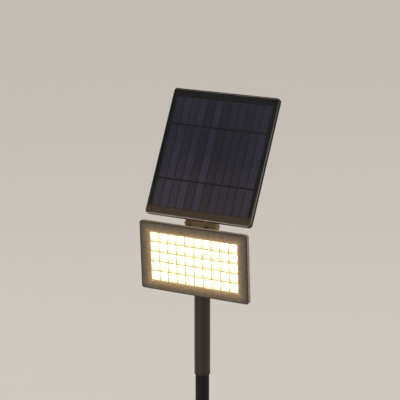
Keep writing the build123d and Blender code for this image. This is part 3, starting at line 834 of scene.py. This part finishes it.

# ABS beside the lit cells: the same black a shade lighter, with the cells' warm light painted on as a
# glow.
abs_painted_glow = moulded("abs_moulded_frame_painted_glow", "#1b1917", "#24211e", 0.4, 0.5, 0.03)
GLOW_REACH = 12.0
lit_abs_place = add(abs_painted_glow, "ShaderNodeTexCoord").outputs["Object"]
from_window_sockets = {0: lit_abs_place, 1: (0.0, 0.0, OPTIC_Z * MM)}
from_window = add(abs_painted_glow, "ShaderNodeVectorMath", {"operation": "SUBTRACT"}, from_window_sockets)
both_ways = add(abs_painted_glow, "ShaderNodeVectorMath", {"operation": "ABSOLUTE"}, {0: from_window.outputs[0]})
window_half = (WINDOW_W / 2 * MM, 1.0, WINDOW_H / 2 * MM)
beyond_sockets = {0: both_ways.outputs[0], 1: window_half}
beyond = add(abs_painted_glow, "ShaderNodeVectorMath", {"operation": "SUBTRACT"}, beyond_sockets)
outside_sockets = {0: beyond.outputs[0], 1: (0.0, 0.0, 0.0)}
outside = add(abs_painted_glow, "ShaderNodeVectorMath", {"operation": "MAXIMUM"}, outside_sockets)
distance = add(abs_painted_glow, "ShaderNodeVectorMath", {"operation": "LENGTH"}, {0: outside.outputs[0]})
share_sockets = {"Value": distance.outputs["Value"], "From Max": GLOW_REACH * MM}
share = add(abs_painted_glow, "ShaderNodeMapRange", sockets=share_sockets)
# Painted glow: brightest at the window, fading out over GLOW_REACH.
spill = add(abs_painted_glow, "ShaderNodeValToRGB", sockets={"Fac": share.outputs["Result"]})
set_stops(spill, (0.0, srgb("#9A7C58")), (1.0, srgb("#453D31")), (0.4, srgb("#6E5D47")))
all_round = add(abs_painted_glow, "ShaderNodeVectorMath", {"operation": "ABSOLUTE"}, {0: lit_abs_place})
frame_half = (LAMP_W / 2 * MM, 0.0, LAMP_H / 2 * MM)
edge_sockets = {0: all_round.outputs[0], 1: frame_half}
to_edge = add(abs_painted_glow, "ShaderNodeVectorMath", {"operation": "SUBTRACT"}, edge_sockets)
edge_axes = add(abs_painted_glow, "ShaderNodeSeparateXYZ", sockets={0: to_edge.outputs[0]})
nearest_sockets = {0: edge_axes.outputs["X"], 1: edge_axes.outputs["Z"]}
nearest = add(abs_painted_glow, "ShaderNodeMath", {"operation": "MAXIMUM"}, nearest_sockets)
turn_range = {"Value": nearest.outputs[0], "From Min": -1.9 * MM, "From Max": -1.0 * MM}
turning = add(abs_painted_glow, "ShaderNodeMapRange", sockets=turn_range)
# Painted shade: the glow turns darker along the rolled front edge.
darker_sockets = {0: turning.outputs["Result"], 6: spill.outputs["Color"], 7: srgb("#2A241C")}
darker = add(abs_painted_glow, "ShaderNodeMix", {"data_type": "RGBA"}, darker_sockets)
# Painted highlight: the frame's sides glow a lighter brown.
wall_range = {"Value": edge_axes.outputs["Y"], "From Min": 0.7 * MM, "From Max": 1.1 * MM}
wall = add(abs_painted_glow, "ShaderNodeMapRange", sockets=wall_range)
wall_sockets = {0: wall.outputs["Result"], 6: darker.outputs[2], 7: srgb("#786A54")}
with_wall = add(abs_painted_glow, "ShaderNodeMix", {"data_type": "RGBA"}, wall_sockets)
# The painted glow's strength varies in patches.
mottle_sockets = {"Vector": lit_abs_place, "Scale": 1 / (7 * MM), "Detail": 2.0}
mottle = add(abs_painted_glow, "ShaderNodeTexNoise", sockets=mottle_sockets)
mottle_range = {"Value": mottle.outputs["Fac"], **NOISE_SPAN, "To Min": 0.78, "To Max": 1.12}
glow_strength = add(abs_painted_glow, "ShaderNodeMapRange", sockets=mottle_range)
lit_abs_shader = abs_painted_glow.node_tree.nodes["Principled BSDF"]
abs_painted_glow.node_tree.links.new(with_wall.outputs[2], lit_abs_shader.inputs["Emission Color"])
abs_painted_glow.node_tree.links.new(glow_strength.outputs["Result"], lit_abs_shader.inputs["Emission Strength"])
show("front_frame", frame_mesh, abs_painted_glow, "lamp", ["lamp_bezel"], LAMP)
dress(zinc, "shell_screws")


# Lamp hinge: a zinc-plated bolt and nut through the housing's two lugs and the bracket's tongue, with
# a nylon washer on each side that gives the friction.

dress(zinc, "lamp_pivot_bolt", "lamp_pivot_nut")
dress(nylon, "lamp_pivot_washers")


# Panel tray: an ABS moulding with a narrow lip round the laminate, a smooth sloped edge, a parting line
# and a coarse back, with two hinge lugs that run up it.

PANEL_CENTRE = Vector((0.0, 23.1, 523.6)) * MM
PANEL_LEAN = math.radians(-25.93)
PANEL = Matrix.Translation(PANEL_CENTRE) @ Matrix.Rotation(PANEL_LEAN, 4, "X")
PANEL_W = 167.0
PANEL_H = 181.0
PANEL_D = 8.5
PANEL_CORNER = 5.0
RECESS_W = 162.0
RECESS_H = 176.0
LEDGE_Y = 3.6
HOLLOW_Y = 6.5
PARTING_Y = 2.4
LUG_LOW = 10.1
LUG_HIGH = 22.0
LUG_CUT_HALF = 40.0
pin_in_panel = PANEL.inverted() @ (Vector((0.0, *PANEL_PIN)) * MM) / MM
PIN_Y = pin_in_panel.y
PIN_Z = pin_in_panel.z

recess_rows = [
    (0.0, 1.5, PARTING_Y),
    (0.0, 1.5, 0.5),
    (-0.15, 1.6, 0.2),
    (-0.5, 1.8, 0.03),
    (-0.9, 2.0, 0.0),
]
slope_rows = [
    (2.6, 3.8, 0.0),
    (1.9, 4.1, 0.15),
    (0.9, 4.55, 0.7),
    (0.3, 4.85, 2.1),
    (0.4, 4.8, 2.3),
    (1.0, 4.5, PARTING_Y),
]
rim_stations = inside(RECESS_W, RECESS_H, *recess_rows) + inside(PANEL_W, PANEL_H, *slope_rows)
rim_mesh = joined("panel_rim", (stacked(rim_stations), True))
# The tray's front edge is smoother than the rest, so the slope round it shines as a thin bright line.
rim_abs = moulded("abs_moulded_smooth_painted_glow", "#110f0e", "#171513", 0.25, 0.5, 0.012)
# Its lower part also has the lit cells' warm light painted on as a glow.
paint_lamp_glow(rim_abs, -92.0, -30.0, "#3B3022")
panel_rim = show("panel_rim", rim_mesh, rim_abs, "panel", ["panel_tray"], PANEL)

hollow_rows = [
    (8.0, 1.5, HOLLOW_Y),
    (8.0, 1.5, LEDGE_Y),
    (0.0, 1.5, LEDGE_Y),
    (0.0, 1.5, PARTING_Y + 0.02),
]
side_rows = [
    (1.0, 4.5, PARTING_Y + 0.02),
    (1.0, 4.5, 2.8),
    (0.2, 4.9, 3.1),
    (0.0, PANEL_CORNER, 3.4),
]
tray_stations = inside(RECESS_W, RECESS_H, *hollow_rows) + inside(PANEL_W, PANEL_H, *side_rows)
tray_stations += rolled(PANEL_W, PANEL_H, PANEL_CORNER, PANEL_D - 2.4, PANEL_D)
tray_mesh = joined("panel_tray_back", (stacked(tray_stations), False))
# Behind the parting line the same ABS has a coarse texture, which takes its shine away.
tray_abs = moulded("abs_moulded_coarse", "#100e0d", "#161413", 0.6, 0.8, 0.05)
tray_abs.node_tree.nodes["Principled BSDF"].inputs["Specular IOR Level"].default_value = 0.2
show("panel_tray_back", tray_mesh, tray_abs, "panel", ["panel_tray"], PANEL)

lug_circles = [(PIN_Y, PIN_Z, PANEL_KNUCKLE_R), (8.7, -60.0, 2.0), (8.7, -86.0, 2.0)]
lug_outline = hull(lug_circles, low_y=7.0)
lug_shapes = [bar(lug_outline, LUG_LOW, LUG_HIGH, 1.0), bar(lug_outline, -LUG_HIGH, -LUG_LOW, 1.0)]
lug_hole = pin_hole(PANEL_HOLE_R, LUG_CUT_HALF, PIN_Y, PIN_Z)
lug_mesh = cut(joined("panel_lug_blanks", *lug_shapes), lug_hole)
# Its knuckles stand over the lit cells, whose warm light is painted on them as a glow.
lug_abs = moulded("abs_moulded_lug_painted_glow", "#131110", "#1a1816", 0.38, 0.5, 0.03)
paint_lamp_glow(lug_abs, -92.0, -82.0, "#4E422D")
show("panel_lugs", lug_mesh, lug_abs, "panel", ["panel_tray"], PANEL)


# Solar laminate: twelve narrow strips cut from dark silicon wafers, laid on a black board and joined
# by two dark-coated copper ribbons, all under a clear sheet. Sealant holds the laminate in the tray.
# The gaps and the ribbons are drawn a little wider than they are, so they can be told apart.

STRIPS = 12
STRIP_W = 11.4
STRIP_H = 156.0
STRIP_PITCH = 12.66
STRIP_RAISE = 0.4
STRIP_FRONT = 1.85
STRIP_BACK = 2.15
strip_shapes = []
for index in range(STRIPS):
    strip_x = (index - (STRIPS - 1) / 2) * STRIP_PITCH
    strip_rings = [
        rounded(STRIP_W - 0.1, STRIP_H - 0.1, 0.25, STRIP_FRONT, strip_x, STRIP_RAISE),
        rounded(STRIP_W, STRIP_H, 0.3, STRIP_FRONT + 0.05, strip_x, STRIP_RAISE),
        rounded(STRIP_W, STRIP_H, 0.3, STRIP_BACK, strip_x, STRIP_RAISE),
    ]
    strip_shapes.append((strip_rings, False))
strip_mesh = joined("silicon_strips", *strip_shapes)

# Silicon under its nitride film: almost black, with a violet-blue cast that differs from strip to
# strip, and fine printed lines across. The lines are 0.1 mm in fact, and are drawn 0.3 mm wide.
silicon, silicon_place = new_material("silicon_nitride_coated")
FINGER_PITCH = 2.4
FINGER_DRAWN_W = 0.3
silicon_axes = add(silicon, "ShaderNodeSeparateXYZ", sockets={0: silicon_place})
strip_count_sockets = {0: silicon_axes.outputs["X"], 1: 1 / (STRIP_PITCH * MM), 2: 20.0}
strip_count = add(silicon, "ShaderNodeMath", {"operation": "MULTIPLY_ADD"}, strip_count_sockets)
strip_number = add(silicon, "ShaderNodeMath", {"operation": "FLOOR"}, {0: strip_count.outputs[0]})
by_number = {"noise_dimensions": "1D"}
strip_tone = add(silicon, "ShaderNodeTexWhiteNoise", by_number, {"W": strip_number.outputs[0]})
film_sockets = {"Vector": silicon_place, "Scale": 1 / (60 * MM), "Detail": 2.0}
film = add(silicon, "ShaderNodeTexNoise", sockets=film_sockets)
film_share_sockets = {0: film.outputs["Fac"], 1: strip_tone.outputs["Value"]}
film_share = add(silicon, "ShaderNodeMath", {"operation": "MULTIPLY"}, film_share_sockets)
film_tone = add(silicon, "ShaderNodeValToRGB", sockets={"Fac": film_share.outputs[0]})
set_stops(film_tone, (0.0, srgb("#232130")), (0.7, srgb("#403d56")))
finger_sockets = {0: silicon_axes.outputs["Z"], 1: 1 / (FINGER_PITCH * MM), 2: 100.5}
finger_count = add(silicon, "ShaderNodeMath", {"operation": "MULTIPLY_ADD"}, finger_sockets)
finger_part = add(silicon, "ShaderNodeMath", {"operation": "FRACT"}, {0: finger_count.outputs[0]})
finger_edge_sockets = {0: finger_part.outputs[0], 1: FINGER_DRAWN_W / FINGER_PITCH}
finger = add(silicon, "ShaderNodeMath", {"operation": "LESS_THAN"}, finger_edge_sockets)
finger_fade = add(silicon, "ShaderNodeMath", {"operation": "MULTIPLY"}, {0: finger.outputs[0], 1: 0.1})
printed_sockets = {0: finger_fade.outputs[0], 6: film_tone.outputs["Color"], 7: srgb("#77757a")}
printed = add(silicon, "ShaderNodeMix", {"data_type": "RGBA"}, printed_sockets)
silicon_sockets = {
    "Base Color": printed.outputs[2],
    "Roughness": 0.3,
    "IOR": 2.0,
    "Specular IOR Level": 0.25,
}
silicon_shader = add(silicon, "ShaderNodeBsdfPrincipled", sockets=silicon_sockets)
add(silicon, "ShaderNodeOutputMaterial", sockets={"Surface": silicon_shader.outputs["BSDF"]})
# The strips' lower part has the lit cells' warm light painted on as a glow.
paint_lamp_glow(silicon, -90.0, 20.0, "#29221E")
show("silicon_strips", strip_mesh, silicon, "panel", ["solar_cells"], PANEL)

# Black mask on the laminate's board: flat and dark, seen as thin lines between the strips, and painted
# brown below them, a glow that stands for the lit cells' light on it.
black_mask = moulded("glass_fibre_black_mask", "#060506", "#0a090a", 0.5, 0.9, 0.02)
# Dark-coated ribbon: tinned copper under a black film, so it hardly shines.
dark_ribbon = moulded("copper_ribbon_black_coated", "#080706", "#0e0c0a", 0.5, 1.0, 0.01)
paint_lamp_glow(black_mask, -81.0, -75.0, "#3B3022")
backing_stations = inside(RECESS_W, RECESS_H, (1.0, 1.0, STRIP_BACK + 0.01), (1.0, 1.0, 3.3))
backing_mesh = joined("backing_board", (stacked(backing_stations), False))
show("backing_board", backing_mesh, black_mask, "panel", ["cell_backing"], PANEL)
RIBBON_W = 2.5
RIBBON_REACH = 39.0
RIBBON_LENGTH = 151.0
ribbon_shapes = []
for side in (1, -1):
    ribbon_z = STRIP_RAISE + side * RIBBON_REACH
    ribbon_rings = [
        rounded(RIBBON_LENGTH - 0.1, RIBBON_W - 0.1, 0.2, 1.71, 0.0, ribbon_z),
        rounded(RIBBON_LENGTH, RIBBON_W, 0.25, 1.74, 0.0, ribbon_z),
        rounded(RIBBON_LENGTH, RIBBON_W, 0.25, STRIP_FRONT, 0.0, ribbon_z),
    ]
    ribbon_shapes.append((ribbon_rings, False))
ribbon_mesh = joined("cell_ribbons_flat", *ribbon_shapes)
show("cell_ribbons_flat", ribbon_mesh, dark_ribbon, "panel", ["cell_ribbons"], PANEL)
dress(silicone, "panel_sealant")
dress(nickel, "cell_terminals")

# Laminated clear sheet: PET with a faint satin face, which keeps reflections soft.
laminate = clear("pet_laminate_clear", "#F4F4F6", 0.07, 1.45)
sheet_rows = [(0.9, 1.1, 0.5), (0.5, 1.25, 0.6), (0.4, 1.3, 0.85), (0.4, 1.3, 1.68)]
sheet_stations = inside(RECESS_W, RECESS_H, *sheet_rows)
sheet_mesh = joined("laminate_sheet", (stacked(sheet_stations), False))
show("laminate_sheet", sheet_mesh, laminate, "panel", ["panel_cover"], PANEL)


# Junction cover: a small ABS box on the tray's back over the panel's terminals, held by four screws,
# with the lead's gland under it.

dress(abs_plastic, "junction_cover")
dress(zinc, "junction_screws")
gland_at = Vector((20.0, PANEL_D + 4.6, -44.0)) * MM
panel_gland_place = PANEL @ Matrix.Translation(gland_at) @ DOWN
panel_gland_mesh = joined("panel_cable_gland", turned(GLAND_PROFILE))
show("panel_cable_gland", panel_gland_mesh, nylon, "panel", ["panel_gland"], panel_gland_place)


# Panel hinge: a round-headed bolt with a hexagon socket, through both lugs and the tongue, and a
# chamfered nut at its other end. Nylon washers give the friction that holds the panel.

PIVOT_PLACE = PANEL @ Matrix.Translation(Vector((0.0, PIN_Y, PIN_Z)) * MM) @ ALONG_X.to_4x4()
HEAD_R = 5.0
HEAD_T = 3.3
bolt_profile = [
    (2.1, -27.5),
    (2.5, -27.1),
    (2.5, LUG_HIGH),
    (HEAD_R - 0.3, LUG_HIGH),
    (HEAD_R, LUG_HIGH + 0.3),
    (HEAD_R, LUG_HIGH + 2.2),
    (HEAD_R - 0.2, LUG_HIGH + 2.75),
    (HEAD_R - 0.6, LUG_HIGH + 3.1),
    (HEAD_R - 1.1, LUG_HIGH + HEAD_T),
    (2.6, LUG_HIGH + HEAD_T),
    (2.1, LUG_HIGH + HEAD_T - 0.1, 6),
    (1.8, LUG_HIGH + HEAD_T - 0.4, 6),
    (1.75, LUG_HIGH + 1.6, 6),
    (0.4, LUG_HIGH + 1.3),
]
bolt_mesh = joined("panel_hinge_bolt", turned(bolt_profile))
# The same plating, dulled by handling and weather, painted warm and with the lit cells' warm light painted
# on as a glow.
dull_zinc = plated("steel_zinc_plated_dull_painted_glow", "#A3957F", 0.55, 0.5)
paint_lamp_glow(dull_zinc, 60.0, 90.0, "#564932")
show("panel_hinge_bolt", bolt_mesh, dull_zinc, "panel", ["panel_pivot_bolt"], PIVOT_PLACE)
nut_profile = [
    (PANEL_HOLE_R, -LUG_HIGH - 0.3),
    (PANEL_HOLE_R, -LUG_HIGH - 3.7),
    (2.9, -LUG_HIGH - 4.0),
    (3.7, -LUG_HIGH - 4.0),
    (4.0, -LUG_HIGH - 3.7, 6),
    (4.0, -LUG_HIGH - 3.4, 6),
    (4.0, -LUG_HIGH - 0.4, 6),
    (3.8, -LUG_HIGH, 6),
    (2.9, -LUG_HIGH),
]
nut_mesh = joined("panel_hinge_nut", turned(nut_profile, closed=True))
show("panel_hinge_nut", nut_mesh, dull_zinc, "panel", ["panel_pivot_nut"], PIVOT_PLACE)
dress(nylon, "panel_pivot_washers")


# Floor, light and camera: a plain pale floor under the spike's point, large soft lamps, and a long
# lens from the right of the lamp and a little above it.

ABOVE_POINT = 0.0005
floor_z = cad_low.z - ABOVE_POINT
floor_mesh = bpy.data.meshes.new("floor")
HALF_FLOOR = 30.0
corners = [(-1, -1), (1, -1), (1, 1), (-1, 1)]
floor_points = [(x * HALF_FLOOR, y * HALF_FLOOR, floor_z) for x, y in corners]
floor_mesh.from_pydata(floor_points, [], [(0, 1, 2, 3)])
floor = bpy.data.objects.new("floor", floor_mesh)
bpy.context.scene.collection.objects.link(floor)
floor_material = new_material("painted_floor")[0]
floor_sockets = {"Base Color": srgb("#EAE6E0"), "Roughness": 0.9}
floor_shader = add(floor_material, "ShaderNodeBsdfPrincipled", sockets=floor_sockets)
add(floor_material, "ShaderNodeOutputMaterial", sockets={"Surface": floor_shader.outputs["BSDF"]})
floor_mesh.materials.append(floor_material)

# The room: a pale ceiling lights everything evenly, and the walls are dim.
ROOM_STRENGTH = 1.47
world = bpy.data.worlds.new("studio")
world.use_nodes = True
bpy.context.scene.world = world
toward = add(world, "ShaderNodeTexCoord").outputs["Generated"]
toward_axes = add(world, "ShaderNodeSeparateXYZ", sockets={0: toward})
room = add(world, "ShaderNodeValToRGB", sockets={"Fac": toward_axes.outputs["Z"]})
set_stops(room, (0.6, srgb("#403E3D")), (0.84, srgb("#F4F1EE")))
background = world.node_tree.nodes["Background"]
world.node_tree.links.new(room.outputs["Color"], background.inputs["Color"])
background.inputs["Strength"].default_value = ROOM_STRENGTH

AIM = Vector((0.0, -0.0276, 0.385))
AZIMUTH = math.radians(31.48)
ELEVATION = math.radians(13.13)
CAMERA_DISTANCE = 2.5037
LENS_MM = 166.7
OFF_RIGHT = 0.01122
OFF_UP = 0.0849
back = Vector(
    (
        math.sin(AZIMUTH) * math.cos(ELEVATION),
        -math.cos(AZIMUTH) * math.cos(ELEVATION),
        math.sin(ELEVATION),
    )
)
right = Vector((math.cos(AZIMUTH), math.sin(AZIMUTH), 0.0))
up = back.cross(right)


def soft_lamp(name, toward, distance, size, power, colour):
    """A square soft light that faces the lamp head, and is itself unseen."""
    data = bpy.data.lights.new(name, "AREA")
    data.size = size
    data.energy = power
    data.color = srgb(colour)[:3]
    made = bpy.data.objects.new(name, data)
    bpy.context.scene.collection.objects.link(made)
    direction = Vector(toward).normalized()
    made.location = AIM + direction * distance
    made.rotation_euler = direction.to_track_quat("Z", "Y").to_euler()
    made.visible_camera = False
    return made


soft_lamp("key", (-1.0, 0.25, 0.6), 2.6, 0.7, 4.0, "#FFF6EC")
soft_lamp("fill", (0.95, -0.25, 0.38), 2.4, 0.36, 4.6, "#FBF1E4")
soft_lamp("rear", (0.3, 1.0, 0.8), 3.0, 0.9, 4.5, "#FFF9F2")

# A low lamp draws the soft line down the pole, and lights nothing else.
pole_only = bpy.data.collections.new("pole_only")
for name in ("lower_pole", "pole_sleeve", "upper_pole"):
    pole_only.objects.link(bpy.data.objects[name])
low_front = soft_lamp("low_front", (-0.13, -0.97, -0.22), 1.5, 0.45, 1.5, "#FFD9B0")
low_front.light_linking.receiver_collection = pole_only

# Two more lamps draw the bright line round the panel's rim, and light nothing else.
rim_only = bpy.data.collections.new("rim_only")
rim_only.objects.link(panel_rim)
before = soft_lamp("before_rim", (-0.508, -0.787, -0.28), 0.8, 0.32, 13.0, "#FFF0DC")
beside = soft_lamp("beside_rim", (0.758, 0.637, -0.1), 2.0, 0.5, 8.5, "#FFF1E0")
for rim_lamp in (before, beside):
    rim_lamp.light_linking.receiver_collection = rim_only

camera_data = bpy.data.cameras.new("camera")
camera_data.lens = LENS_MM
camera_data.sensor_width = 36.0
camera_data.clip_end = 200.0
camera = bpy.data.objects.new("camera", camera_data)
bpy.context.scene.collection.objects.link(camera)
camera.location = AIM + back * CAMERA_DISTANCE + right * OFF_RIGHT + up * OFF_UP
camera.rotation_euler = Matrix((right, up, back)).transposed().to_euler()
bpy.context.scene.camera = camera
bpy.context.scene.view_settings.view_transform = "Standard"
